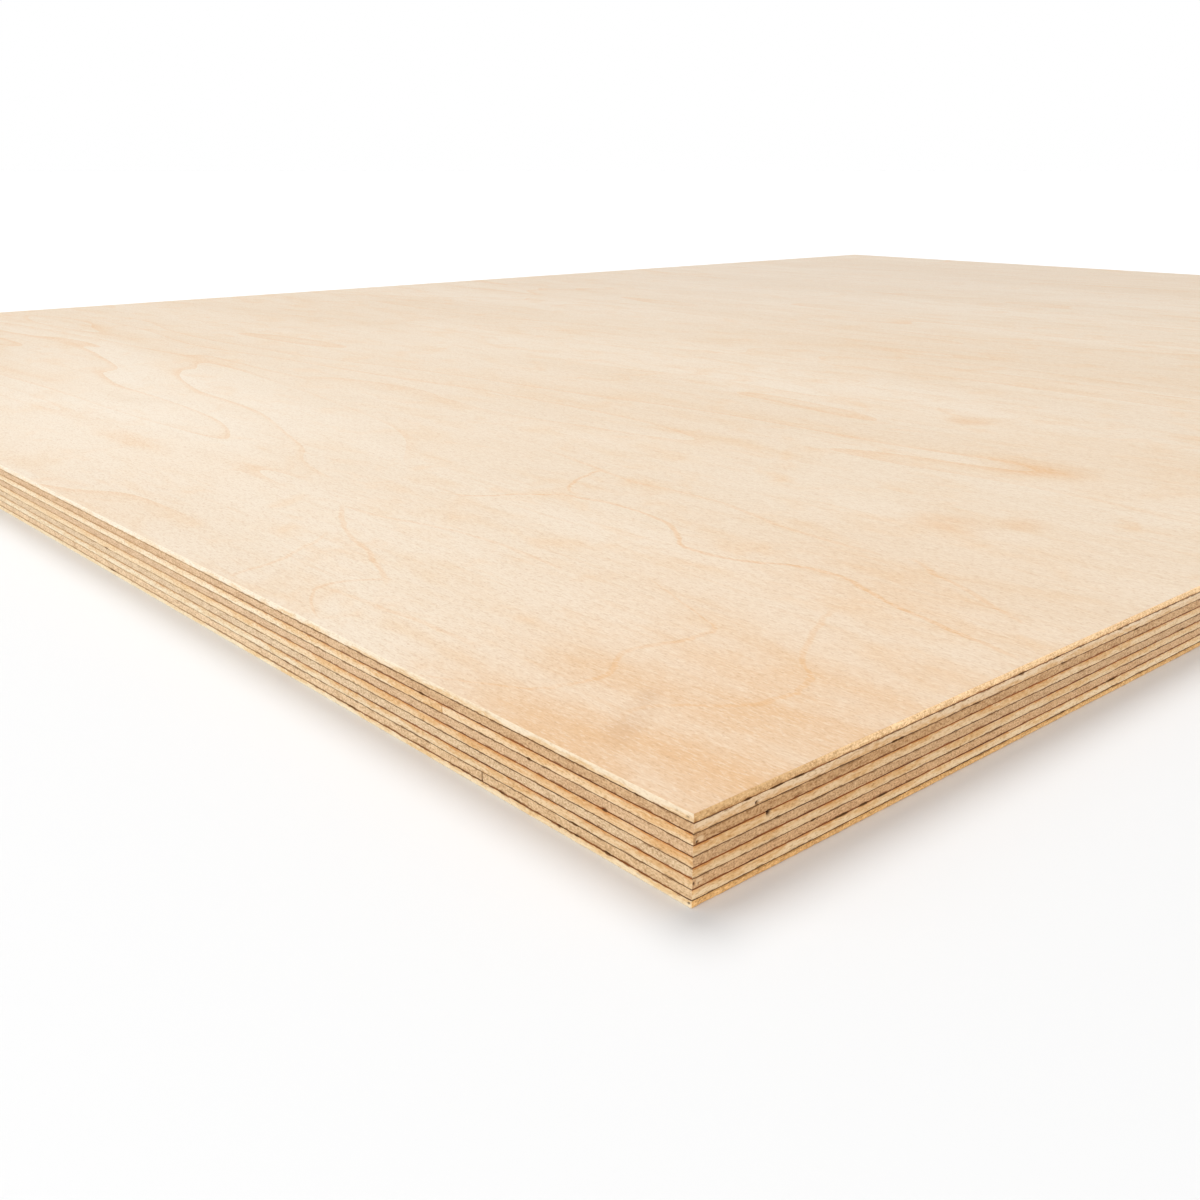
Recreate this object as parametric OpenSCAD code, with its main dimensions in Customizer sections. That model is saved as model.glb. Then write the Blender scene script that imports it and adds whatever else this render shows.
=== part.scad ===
// Plywood sheet: nine birch veneers, cross-banded and bonded by dark glue lines, with the edges left bare.
// The sheet lies on its back on Z = 0, centred on X and Y. The grain of the face runs along Y, so every
// odd ply shows long grain on the sides that face X and end grain on the sides that face Y.

/* [Sheet] */
// Length of the sheet, across the grain of its face
sheet_length = 800; // [300:5:1250]
// Width of the sheet, along the grain of its face
sheet_width = 600; // [300:5:1250]

/* [Plies] */
// Thickness of the face and back veneers, which are sanded thinner than the rest
face_thickness = 0.98; // [0.7:0.02:1.5]
// Thickness of each of the seven inner veneers
core_thickness = 1.32; // [1:0.02:2.5]
// Thickness of each of the eight glue lines
glue_thickness = 0.1; // [0.06:0.02:0.3]

/* [Edges] */
// Radius to which sanding eases the arrises of the face and the back
arris_radius = 0.25; // [0.1:0.05:0.5]

/* [Veneer joints] */
// Hairline gap where two strips of one veneer meet
joint_gap = 0.16; // [0.06:0.02:0.5]
// Distance of the joint across ply 3 from the side that faces -Y
ply_3_joint = 49; // [20:1:280]
// Distance of the joint along ply 8 from the side that faces -Y
ply_8_joint = 40; // [20:1:280]

/* [Hidden] */

ply_count = 9;
inner_pitch = core_thickness + glue_thickness;
// Room that a cutting shape reaches past the veneer it cuts
past = 1;
// Fineness of the eased arrises
$fn = 48;

long_grain = "#f3d6a6";
cross_grain = "#d9b285";

// Height of the underside of ply n, where 1 is the face and ply_count the back
function ply_bottom(n) = n == ply_count ? 0 : face_thickness + glue_thickness + (ply_count - 1 - n) * inner_pitch;

// Section of a veneer whose two upper arrises are eased
module eased_section(span) {
  translate([-span / 2, 0])
    square([span, face_thickness - arris_radius]);
  translate([arris_radius - span / 2, 0])
    square([span - 2 * arris_radius, face_thickness]);
  for (side = [-1, 1])
    translate([side * (span / 2 - arris_radius), face_thickness - arris_radius])
      circle(r = arris_radius);
}

// Outer veneer with all four upper arrises eased, its underside on Z = 0
module outer_veneer() {
  intersection() {
    rotate([90, 0, 0])
      linear_extrude(height = sheet_width, center = true)
        eased_section(sheet_length);
    rotate([90, 0, 90])
      linear_extrude(height = sheet_length, center = true)
        eased_section(sheet_width);
  }
}

// Flat layer of the full sheet size, its underside at the given height
module layer(bottom, thickness) {
  translate([-sheet_length / 2, -sheet_width / 2, bottom])
    cube([sheet_length, sheet_width, thickness]);
}

module inner_veneer(n) {
  layer(ply_bottom(n), core_thickness);
}

// Inner veneer laid up from two strips that meet at the given distance from the side facing -Y
module jointed_veneer(n, joint) {
  difference() {
    inner_veneer(n);
    translate([-sheet_length / 2 - past, joint - sheet_width / 2 - joint_gap / 2, ply_bottom(n) - past])
      cube([sheet_length + 2 * past, joint_gap, core_thickness + 2 * past]);
  }
}

module face_veneer() {
  color("#f6dfbf")
    translate([0, 0, ply_bottom(1)])
      outer_veneer();
}

module cross_ply_2() {
  color(cross_grain)
    inner_veneer(2);
}

module long_ply_3() {
  color(long_grain)
    jointed_veneer(3, ply_3_joint);
}

module cross_ply_4() {
  color(cross_grain)
    inner_veneer(4);
}

module centre_ply_5() {
  color(long_grain)
    inner_veneer(5);
}

module cross_ply_6() {
  color(cross_grain)
    inner_veneer(6);
}

module long_ply_7() {
  color(long_grain)
    inner_veneer(7);
}

module cross_ply_8() {
  color(cross_grain)
    jointed_veneer(8, ply_8_joint);
}

module back_veneer() {
  color("#f1d3a4")
    translate([0, 0, face_thickness])
      rotate([180, 0, 0])
        outer_veneer();
}

module glue_lines() {
  color("#8a5a2c")
    for (n = [1 : ply_count - 1])
      layer(ply_bottom(n) - glue_thickness, glue_thickness);
}

face_veneer();
cross_ply_2();
long_ply_3();
cross_ply_4();
centre_ply_5();
cross_ply_6();
long_ply_7();
cross_ply_8();
back_veneer();
glue_lines();
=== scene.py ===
"""Looks of a plywood sheet: nine birch plies with worn sawn edges, and the glue lines between them."""
import math

import bpy
import numpy as np
from mathutils import Matrix, Vector


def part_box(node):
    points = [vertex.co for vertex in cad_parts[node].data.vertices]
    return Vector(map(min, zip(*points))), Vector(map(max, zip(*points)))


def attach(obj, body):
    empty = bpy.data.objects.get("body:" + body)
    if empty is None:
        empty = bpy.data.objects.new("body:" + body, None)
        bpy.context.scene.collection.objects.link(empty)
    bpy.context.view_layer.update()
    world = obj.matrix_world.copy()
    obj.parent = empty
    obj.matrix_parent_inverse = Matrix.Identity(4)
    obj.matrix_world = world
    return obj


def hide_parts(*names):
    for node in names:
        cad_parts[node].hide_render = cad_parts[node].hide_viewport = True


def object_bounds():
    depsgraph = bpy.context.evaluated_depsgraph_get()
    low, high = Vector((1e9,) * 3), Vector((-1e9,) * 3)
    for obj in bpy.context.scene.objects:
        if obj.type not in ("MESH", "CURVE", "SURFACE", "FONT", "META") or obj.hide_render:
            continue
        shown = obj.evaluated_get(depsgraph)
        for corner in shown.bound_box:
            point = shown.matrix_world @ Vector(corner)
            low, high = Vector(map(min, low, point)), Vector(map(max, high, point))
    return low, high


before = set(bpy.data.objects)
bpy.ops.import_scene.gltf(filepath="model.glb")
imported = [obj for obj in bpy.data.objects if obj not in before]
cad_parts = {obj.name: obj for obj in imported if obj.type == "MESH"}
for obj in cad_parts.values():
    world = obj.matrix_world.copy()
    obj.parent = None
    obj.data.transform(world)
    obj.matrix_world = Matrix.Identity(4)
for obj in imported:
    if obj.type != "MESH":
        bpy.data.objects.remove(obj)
CAD_LOW, CAD_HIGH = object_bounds()

MM = 0.001

# Plies from the face to the back. The grain of an odd ply runs along Y, and that of an even ply along X.
PLIES = [
    "face_veneer", "cross_ply_2", "long_ply_3", "cross_ply_4", "centre_ply_5",
    "cross_ply_6", "long_ply_7", "cross_ply_8", "back_veneer",
]
FACE, BACK = 0, len(PLIES) - 1
PLY_BOXES = [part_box(name) for name in PLIES]

# Veneer joints: distance from the side that faces -Y, and how wide the gap has broken out on the edge. Then
# the depth of a gap, and the distance over which the strips beside it differ in colour
JOINTS = {"long_ply_3": (49 * MM, 0.16 * MM), "cross_ply_8": (40 * MM, 0.34 * MM)}
SLOT_DEPTH, SLOT_TOLERANCE, STRIP_REACH = 1.2 * MM, 1e-9, 9 * MM

# Spacing of the columns of vertices round an edge: at the near corner, its growth per column, and its limit.
# The outer plies have fewer columns, because a grid across their faces meets each one.
EDGE_FINE, EDGE_GROWTH, EDGE_COARSE = 0.16 * MM, 1.0068, 2.4 * MM
FACE_FINE, FACE_GROWTH, FACE_COARSE = 0.28 * MM, 1.018, 5.5 * MM
GLUE_FINE = 1.6 * EDGE_FINE

# Kinds of noise along an edge: size, length and seed, to which the number of the ply or glue line is added.
# They are the waves of a glue line, the changes of its height, its breaks, and the wear of an arris.
GLUE_WAVES = [(0.06 * MM, 38 * MM, 11), (0.022 * MM, 9 * MM, 31), (0.014 * MM, 1.3 * MM, 41)]
GLUE_CHANGES = [(1.0, 15 * MM, 51), (0.6, 2.5 * MM, 71)]
GLUE_BREAKS = [(1.0, 1.9 * MM, 231), (0.35, 13 * MM, 211)]
ARRIS_CHANGES = [(0.16, 6 * MM, 171), (0.22, 1.1 * MM, 173)]

# Height of a glue line on the edge: below an inner ply's end grain, elsewhere, its spread and its limits
GLUE_THICK, GLUE_THIN, GLUE_SPREAD = 0.17 * MM, 0.13 * MM, 0.04 * MM
GLUE_LEAST, GLUE_MOST = 0.06 * MM, 0.38 * MM

# How far the glue lies inside the edges, its roughness, and how far it reaches into the plies beside it
GLUE_RECESS, GLUE_ROUGH, GLUE_OVERLAP = 0.06 * MM, 0.03 * MM, 0.006 * MM
GLUE_ROUGH_LENGTH = 1.5 * MM

# Breaks in the glue: what a worn side adds to their noise, the noise at which one begins and is complete, and
# what it then adds to the glue line's height and depth
WORN_SIDE = 0.12
BREAK_BEGINS, BREAK_COMPLETE = 0.62, 0.95
CHIP_WIDTH, CHIP_DEPTH = 0.2 * MM, 0.55 * MM

# Arrises of the face and back: radius along and across the grain, mean share of it, and inset from the box
ARRIS_ALONG, ARRIS_ACROSS, ARRIS_SHARE = 0.2 * MM, 0.42 * MM, 0.85
ARRIS_INSET = 0.02 * MM

# Relief of the edges: depth, length and height of end grain, of long fibres and of saw marks
GRAIN_DEPTH, GRAIN_LENGTH, GRAIN_HEIGHT = 0.035 * MM, 0.5 * MM, 0.35 * MM
FIBRE_DEPTH, FIBRE_LENGTH, FIBRE_HEIGHT = 0.02 * MM, 4 * MM, 0.22 * MM
SAW_DEPTH, SAW_LENGTH, SAW_HEIGHT = 0.010 * MM, 1.7 * MM, 9 * MM

# Worn lip of a ply beside the glue: depth, and how steeply it fades over the ply's height
LIP_DEPTH, LIP_FADE = 0.035 * MM, 12

# Chips down the near upright corner: reach along the edges, height and depth
CORNER_REACH, CORNER_HEIGHT, CORNER_DEPTH = 0.8 * MM, 0.7 * MM, 0.28 * MM

# Dips of the sanded faces: depth, and length across and along the grain
DIP_DEPTH, DIP_ACROSS, DIP_ALONG = 0.012 * MM, 30 * MM, 70 * MM

# Seeds of the other noise in the shapes
GRAIN_SEED, FIBRE_SEED, SAW_SEED, DIP_SEED, GLUE_ROUGH_SEED, CORNER_SEED = 91, 111, 131, 151, 191, 251

# Angle from which the edge between two faces is sharp
SHARP_ANGLE = math.radians(38)

# Sides in the order of a ring of columns
FRONT, RIGHT, REAR, LEFT = range(4)


def colour(red, green, blue):
    """Linear shader colour from sRGB values of 0 to 255."""
    srgb = np.array([red, green, blue]) / 255
    linear = np.where(srgb <= 0.04045, srgb / 12.92, ((srgb + 0.055) / 1.055) ** 2.4)
    return (*linear.tolist(), 1.0)


def shade(base, red, green, blue):
    """Colour scaled by its own share in each channel."""
    return (base[0] * red, base[1] * green, base[2] * blue, 1.0)


# Smooth noise for the shapes

# Odd multipliers that scramble whole numbers, and the bits that are kept
HASH_X, HASH_Y, HASH_Z, HASH_SEED = 374761393, 668265263, 2147483647, 1274126177
HASH_BITS, LOW_BITS = 0x7FFFFFFF, 0xFFFF


def lattice(ix, iy, iz, seed):
    """Random number from 0 to 1 at each whole-number point, the same in every run."""
    n = ix * HASH_X + iy * HASH_Y + iz * HASH_Z + seed * HASH_SEED
    n = (n ^ (n >> 13)) * HASH_SEED & HASH_BITS
    n = (n ^ (n >> 15)) * HASH_Y & HASH_BITS
    return ((n ^ (n >> 16)) & LOW_BITS) / LOW_BITS


def noise(x, y, z, seed):
    """Smooth noise from -1 to 1 with about one bump a unit."""
    x, y, z = np.broadcast_arrays(x, y, z)
    cell = [np.floor(a).astype(np.int64) for a in (x, y, z)]
    part = [a - c for a, c in zip((x, y, z), cell)]
    ease = [p * p * (3 - 2 * p) for p in part]
    total = np.zeros(x.shape)
    for corner in range(8):
        step = [(corner >> axis) & 1 for axis in range(3)]
        weight = np.ones(x.shape)
        for axis in range(3):
            weight = weight * (ease[axis] if step[axis] else 1 - ease[axis])
        total += weight * lattice(*(cell[a] + step[a] for a in range(3)), seed)
    return 2 * total - 1


def ramp(value, low, high):
    """Smooth step from 0 at low to 1 at high."""
    t = np.clip((value - low) / (high - low), 0, 1)
    return t * t * (3 - 2 * t)


# Columns of vertices round the edge


def graded(low, high, fine, growth, coarse):
    """Places from low to high, close together at low and wider apart beyond it."""
    places, step = [0.0], fine
    while places[-1] < high - low:
        places.append(places[-1] + step)
        step = min(step * growth, coarse)
    return low + np.array(places) * (high - low) / places[-1]


def with_joint(places, joint, gap):
    """The same places with a narrow slot's walls added."""
    half, wall = gap / 2, gap / 6
    kept = places[np.abs(places - joint) > gap]
    walls = [joint - half - wall, joint - half, joint + half, joint + half + wall]
    return np.sort(np.concatenate([kept, walls]))


class Ring:
    """Columns round the four sides, from the near corner along -Y, then +X, +Y and -X."""

    def __init__(self, xs, ys):
        self.xs, self.ys = xs, ys
        across, deep = len(xs) - 1, len(ys) - 1
        self.x = np.concatenate([xs[:-1], np.full(deep, xs[-1]), xs[:0:-1], np.full(deep, xs[0])])
        self.y = np.concatenate([np.full(across, ys[0]), ys[:-1], np.full(across, ys[-1]), ys[:0:-1]])
        self.count = len(self.x)
        self.side = np.repeat([FRONT, RIGHT, REAR, LEFT], [across, deep, across, deep])
        self.faces_x = (self.side == RIGHT) | (self.side == LEFT)
        self.from_corner = np.where(self.faces_x, self.y - ys[0], self.x - xs[0])
        self.in_x = np.where(self.x == xs[0], 1.0, 0.0) - np.where(self.x == xs[-1], 1.0, 0.0)
        self.in_y = np.where(self.y == ys[0], 1.0, 0.0) - np.where(self.y == ys[-1], 1.0, 0.0)
        after = np.roll(np.arange(self.count), -1)
        steps = np.hypot(self.x[after] - self.x, self.y[after] - self.y)
        self.end = np.cumsum(steps)
        self.start = self.end - steps
        self.length = self.end[-1]

    def noise(self, size, seed, z=0.5, tall=1.0):
        """Noise along the edge with bumps of the given length and height."""
        return noise(self.x / size, self.y / size, z / tall, seed)

    def waves(self, kinds, index, start=0.0):
        """The start plus several kinds of noise, each with its size, length and seed."""
        return sum((size * self.noise(length, seed + index) for size, length, seed in kinds), start)


def sheet_ring(fine, growth, coarse, joint=None):
    """Columns round the whole sheet, with the walls of a veneer joint's slot where there is one."""
    xs = graded(CAD_LOW.x, CAD_HIGH.x, fine, growth, coarse)
    ys = graded(CAD_LOW.y, CAD_HIGH.y, fine, growth, coarse)
    if joint is not None:
        place, gap = joint
        ys = with_joint(ys, CAD_LOW.y + place, gap)
    return Ring(xs, ys)


# Shape of the plies' edges

# Gaps torn in a glue line: number of the ply above, from 0 for the face, side, distance from the near corner
# and half length in millimetres.
TORN = [
    (0, FRONT, 9.0, 0.5), (0, FRONT, 14.0, 0.9), (0, FRONT, 18.0, 0.8), (0, LEFT, 9.4, 0.2),
    (1, FRONT, 38.7, 0.3), (1, LEFT, 54.0, 0.5), (2, FRONT, 12.8, 0.35), (2, LEFT, 29.6, 0.4),
    (7, LEFT, 14.4, 0.45), (7, LEFT, 20.2, 0.3), (7, LEFT, 23.5, 0.25), (7, LEFT, 32.5, 0.4),
    (7, LEFT, 35.8, 0.3), (6, LEFT, 20.6, 0.5), (3, LEFT, 15.0, 0.3), (5, FRONT, 21.2, 0.3),
]

# Pits and chips in a ply's edge: number of the ply, side, distance from the near corner, share of the ply's
# height, half length, half height and depth in millimetres, and darkness, which is below 0 for fresh wood.
PITS = [
    (1, FRONT, 10.6, 0.25, 0.34, 0.24, 0.7, 1.0),
    (3, FRONT, 12.8, 0.84, 0.45, 0.26, 0.7, 1.0),
    (2, FRONT, 1.1, 0.3, 0.7, 0.5, 0.12, -0.9),
    (2, FRONT, 0.8, 0.12, 0.26, 0.2, 0.3, 1.0),
    (6, FRONT, 1.0, 0.5, 0.75, 0.5, 0.12, -0.9),
    (6, FRONT, 0.5, 0.45, 0.24, 0.34, 0.3, 0.8),
    (6, FRONT, 1.2, 0.25, 0.22, 0.2, 0.25, 0.7),
    (0, LEFT, 1.0, 0.42, 0.2, 0.22, 0.2, 0.7),
    (0, LEFT, 2.8, 0.55, 0.3, 0.18, 0.12, 0.35),
    (0, LEFT, 15.2, 0.3, 0.35, 0.14, 0.12, 0.4),
    (0, LEFT, 20.6, 0.4, 0.4, 0.16, 0.1, 0.3),
    (8, LEFT, 0.6, 0.55, 0.26, 0.16, 0.2, 0.8),
    (8, LEFT, 8.9, 0.6, 0.45, 0.18, 0.08, 0.35),
    (7, LEFT, 20.0, 0.25, 0.6, 0.12, 0.1, 0.3),
]

# Half lengths at which a torn gap ends and over which it narrows, and half sizes at which a pit ends
TEAR_END, TEAR_NARROWS, PIT_END = 1.5, 0.8, 1.3


def torn(index, ring):
    """From 0 to 1: how far a glue line and the arrises beside it have broken out."""
    worn_side = {FACE: ~ring.faces_x, BACK - 1: ring.faces_x}.get(index, np.zeros(ring.count, bool))
    breaks = ring.waves(GLUE_BREAKS, index) + WORN_SIDE * worn_side
    share = ramp(breaks, BREAK_BEGINS, BREAK_COMPLETE)
    for interface, side, place, half in TORN:
        if interface == index:
            off = np.abs(ring.from_corner - place * MM) / (half * MM)
            share = np.maximum(share, ramp(TEAR_END - off, 0, TEAR_NARROWS) * (ring.side == side))
    return share


def interface_height(index, ring):
    """Height of the middle of a glue line, which wavers as the veneers were pressed."""
    middle = (PLY_BOXES[index][0].z + PLY_BOXES[index + 1][1].z) / 2
    return ring.waves(GLUE_WAVES, index, middle)


def glue_width(index, ring):
    """Height of the visible glue line, squeezed thin in places and torn wide in others."""
    mean = np.where(shows_end_grain(index, ring) & (index != FACE), GLUE_THICK, GLUE_THIN)
    width = mean + GLUE_SPREAD * ring.waves(GLUE_CHANGES, index) + CHIP_WIDTH * torn(index, ring)
    return np.clip(width, GLUE_LEAST, GLUE_MOST)


def ply_rims(index, ring):
    """Heights of a ply's lower and upper rims at each column."""
    bottom, top = np.full(ring.count, CAD_LOW.z), np.full(ring.count, CAD_HIGH.z)
    if index != BACK:
        bottom = interface_height(index, ring) + glue_width(index, ring) / 2
    if index != FACE:
        top = interface_height(index - 1, ring) - glue_width(index - 1, ring) / 2
    return bottom, top


def shows_end_grain(index, ring):
    """True for the columns where this ply's fibres are cut across."""
    grain_along_y = index % 2 == 0
    return ring.faces_x != grain_along_y


def edge_relief(index, ring, z, rise):
    """How far each point of a ply's edge lies inside the sheet's box."""
    grain = np.abs(ring.noise(GRAIN_LENGTH, GRAIN_SEED + index, z, GRAIN_HEIGHT))
    fibre = np.abs(ring.noise(FIBRE_LENGTH, FIBRE_SEED + index, z, FIBRE_HEIGHT))
    saw = 0.5 + 0.5 * ring.noise(SAW_LENGTH, SAW_SEED, z, SAW_HEIGHT)
    rough = np.where(shows_end_grain(index, ring), GRAIN_DEPTH * grain, FIBRE_DEPTH * fibre)
    lip = LIP_DEPTH * np.clip(1 - LIP_FADE * np.minimum(rise, 1 - rise), 0, 1)
    return rough + lip + SAW_DEPTH * saw + corner_wear(index, ring, z)


def corner_wear(index, ring, z):
    """Depth of the small chips down the near upright corner."""
    near = np.clip(1 - ring.from_corner / CORNER_REACH, 0, 1)
    bite = ramp(noise(0.5, 0.5, z / CORNER_HEIGHT, CORNER_SEED + index), 0.0, 0.8)
    at_corner = (ring.side == FRONT) | (ring.side == LEFT)
    return CORNER_DEPTH * near * bite * at_corner


def pits(index, ring, level, height):
    """Darkness and depth of the pits at each point of a row."""
    dark, depth = np.zeros(ring.count), np.zeros(ring.count)
    for ply, side, place, centre, half_length, half_height, deep, darkness in PITS:
        if ply != index:
            continue
        u = (ring.from_corner - place * MM) / (half_length * MM)
        w = (level - centre) * height / (half_height * MM)
        near = np.clip(PIT_END - np.hypot(u, w), 0, 1) * (ring.side == side)
        dark = dark * (1 - near) + near * darkness
        depth = np.maximum(depth, near * deep * MM)
    return dark, depth


def joint_marks(name, ring):
    """Depth of a veneer joint's slot, and warmth of the strips beside it: -1 is paler and 1 is warmer."""
    if name not in JOINTS:
        return np.zeros(ring.count), np.zeros(ring.count)
    place, gap = JOINTS[name]
    off = ring.y - CAD_LOW.y - place
    slot = np.where(ring.faces_x & (np.abs(off) <= gap / 2 + SLOT_TOLERANCE), SLOT_DEPTH, 0.0)
    strength = np.exp(-np.abs(off / STRIP_REACH))
    tone = np.where(off > 0, strength, -strength)
    return slot, np.where(ring.faces_x, tone, 0.0)


def arris_radius(index, ring):
    """Radius of an outer ply's arris at each column, unevenly worn."""
    whole = np.where(shows_end_grain(index, ring), ARRIS_ACROSS, ARRIS_ALONG)
    return whole * (ARRIS_SHARE + ring.waves(ARRIS_CHANGES, index))


# Meshes


class Room:
    """Part of the bake map where a long edge lies cut into lines, one above the other."""

    # Parts of a line that are used: from a small margin along it, and above a free strip up it
    END_MARGIN, LENGTH_USED = 0.005, 0.98
    FOOT_MARGIN, HEIGHT_USED = 0.08, 0.84

    def __init__(self, length, lines, low, high):
        self.line_length = length / lines
        self.low, self.line_height = low, (high - low) / lines

    def along(self, start, end):
        """Line of each stretch of the edge, and where the stretch starts and ends on the map."""
        line = np.floor(start / self.line_length)
        scale = self.LENGTH_USED / self.line_length
        first = line * self.line_length
        return line, self.END_MARGIN + (start - first) * scale, self.END_MARGIN + (end - first) * scale

    def height(self, line, share):
        """Height on the map of a share of the edge's own height."""
        return self.low + self.line_height * (line + self.FOOT_MARGIN + self.HEIGHT_USED * share)


class Build:
    """Vertices, faces, bake map and numbers per vertex of one piece, gathered part by part."""

    def __init__(self):
        self.points, self.quads, self.maps, self.slots = [], [], [], []
        self.caps = []
        self.numbers = {"rise": [], "pit": [], "tone": []}
        self.count = 0

    def vertices(self, x, y, z, rise=1.0, pit=0.0, tone=0.0):
        """Adds vertices and returns the number of the first one."""
        self.points.append(np.stack([x.ravel(), y.ravel(), z.ravel()], 1))
        for label, value in (("rise", rise), ("pit", pit), ("tone", tone)):
            self.numbers[label].append(np.broadcast_to(value, x.size).astype(np.float32))
        first, self.count = self.count, self.count + x.size
        return first

    def row(self, ring, z, inset, rise, pit=0.0, tone=0.0):
        """Adds one vertex a column, inset from the sheet's box."""
        return self.vertices(ring.x + ring.in_x * inset, ring.y + ring.in_y * inset, z, rise, pit, tone)

    def bands(self, ring, rows, shares, room, slots):
        """Adds the quads between each two rows, which lie at the given shares of the room's height."""
        here = np.arange(ring.count)
        after = np.roll(here, -1)
        line, start, end = room.along(ring.start, ring.end)
        for k in range(len(rows) - 1):
            lower, upper = rows[k], rows[k + 1]
            low, high = room.height(line, shares[k]), room.height(line, shares[k + 1])
            self.quads.append(np.stack([lower + here, lower + after, upper + after, upper + here], 1))
            self.maps.append(np.stack([start, low, end, low, end, high, start, high], 1))
            self.slots.append(np.broadcast_to(slots, ring.count))

    def grid(self, number, u, v, slot):
        """Adds the quads of a rectangular table of vertex numbers."""
        head, tail = slice(None, -1), slice(1, None)
        corners = (head, head), (tail, head), (tail, tail), (head, tail)
        self.quads.append(np.stack([number[corner].ravel() for corner in corners], 1))
        tables = np.meshgrid(u, v, indexing="ij")
        self.maps.append(np.stack([table[corner].ravel() for corner in corners for table in tables], 1))
        self.slots.append(np.full((len(u) - 1) * (len(v) - 1), slot))

    def cap(self, ring, first, spot, slot, upward):
        """Closes a row with one flat face, which has a small spot of the bake map."""
        u = spot[0] + spot[2] * (ring.x - CAD_LOW.x) / (CAD_HIGH.x - CAD_LOW.x)
        v = spot[1] + spot[2] * (ring.y - CAD_LOW.y) / (CAD_HIGH.y - CAD_LOW.y)
        order = np.arange(ring.count) if upward else np.arange(ring.count)[::-1]
        self.caps.append((first + order, np.stack([u, v], 1)[order], slot))

    def turn_over(self):
        """Turns every face the other way out."""
        self.quads = [q[:, ::-1] for q in self.quads]
        self.maps = [m.reshape(-1, 4, 2)[:, ::-1].reshape(-1, 8) for m in self.maps]
        self.caps = [(c[::-1], uv[::-1], slot) for c, uv, slot in self.caps]

    def make(self, name, materials):
        """Makes the piece from all that was gathered."""
        mesh = bpy.data.meshes.new(name)
        faces = np.concatenate(self.quads).tolist() + [corners.tolist() for corners, _, _ in self.caps]
        mesh.from_pydata(np.concatenate(self.points).tolist(), [], faces)
        slots = np.concatenate(self.slots + [[slot] for _, _, slot in self.caps]).astype(np.int32)
        mesh.polygons.foreach_set("material_index", slots)
        mesh.polygons.foreach_set("use_smooth", np.ones(len(faces), bool))
        flat = np.concatenate([m.ravel() for m in self.maps] + [uv.ravel() for _, uv, _ in self.caps])
        mesh.uv_layers.new(name="OFBake").data.foreach_set("uv", flat.astype(np.float32))
        for label, values in self.numbers.items():
            mesh.attributes.new(label, "FLOAT", "POINT").data.foreach_set("value", np.concatenate(values))
        for material in materials:
            mesh.materials.append(material)
        mesh.set_sharp_from_angle(angle=SHARP_ANGLE)
        piece = bpy.data.objects.new(name, mesh)
        bpy.context.collection.objects.link(piece)
        return piece


# Rows of vertices up an edge and up a glue film, as shares of its height, and turns of an arris's rows
EDGE_ROWS = np.array([0, 0.05, 0.16, 0.32, 0.5, 0.68, 0.84, 0.95, 1])
FILM_ROWS = (0.0, 0.5, 1.0)
ARRIS_TURNS = np.radians([22, 45, 68, 90])

# Numbers of the materials: a ply's 0 and 1 are its edges along and across the grain, and its faces follow.
INNER_BONDED = 2
OUTER_SANDED, OUTER_BONDED = 2, 3
FILM_EDGE, FILM_BONDED = 0, 1

# Bake map of an inner ply and of the glue: lines of edge at the bottom, and spots for hidden faces above them
INNER_LINES, FILM_LINES, EDGES_TOP = 20, 8, 0.96
LOWER_SPOT, UPPER_SPOT = (0.1, 0.965, 0.03), (0.2, 0.965, 0.03)
FILM_SPOTS = [(0.05 + 0.1 * film, 0.965, 0.03) for film in range(BACK)]

# Bake map of an outer ply: its face, lines of edge above it, a spot for its hidden face, and the share of a
# line below the arris
FACE_MARGIN, FACE_WIDE, FACE_HIGH = 0.005, 0.99, 0.735
OUTER_LINES, OUTER_EDGES_FOOT, OUTER_EDGES_TOP = 14, 0.75, 0.985
OUTER_SPOT = (0.1, 0.987, 0.01)
STRAIGHT_SHARE = 0.75


def inner_ply(index, materials):
    """Inner ply: both its faces are bonded, and only its edges show."""
    name = PLIES[index]
    ring = sheet_ring(EDGE_FINE, EDGE_GROWTH, EDGE_COARSE, JOINTS.get(name))
    bottom, top = ply_rims(index, ring)
    slot, tone = joint_marks(name, ring)
    room = Room(ring.length, INNER_LINES, 0.0, EDGES_TOP)
    build = Build()
    rows = []
    for rise in EDGE_ROWS:
        z = bottom + rise * (top - bottom)
        dark, depth = pits(index, ring, rise, top - bottom)
        inset = edge_relief(index, ring, z, rise) + depth + slot
        # A veneer joint's slot is painted with the pits' full shade.
        rows.append(build.row(ring, z, inset, rise, np.where(slot > 0, 1.0, dark), tone))
    build.bands(ring, rows, EDGE_ROWS, room, shows_end_grain(index, ring))
    build.cap(ring, rows[0], LOWER_SPOT, INNER_BONDED, upward=False)
    build.cap(ring, rows[-1], UPPER_SPOT, INNER_BONDED, upward=True)
    return build.make(name + "_birch", materials)


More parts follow.
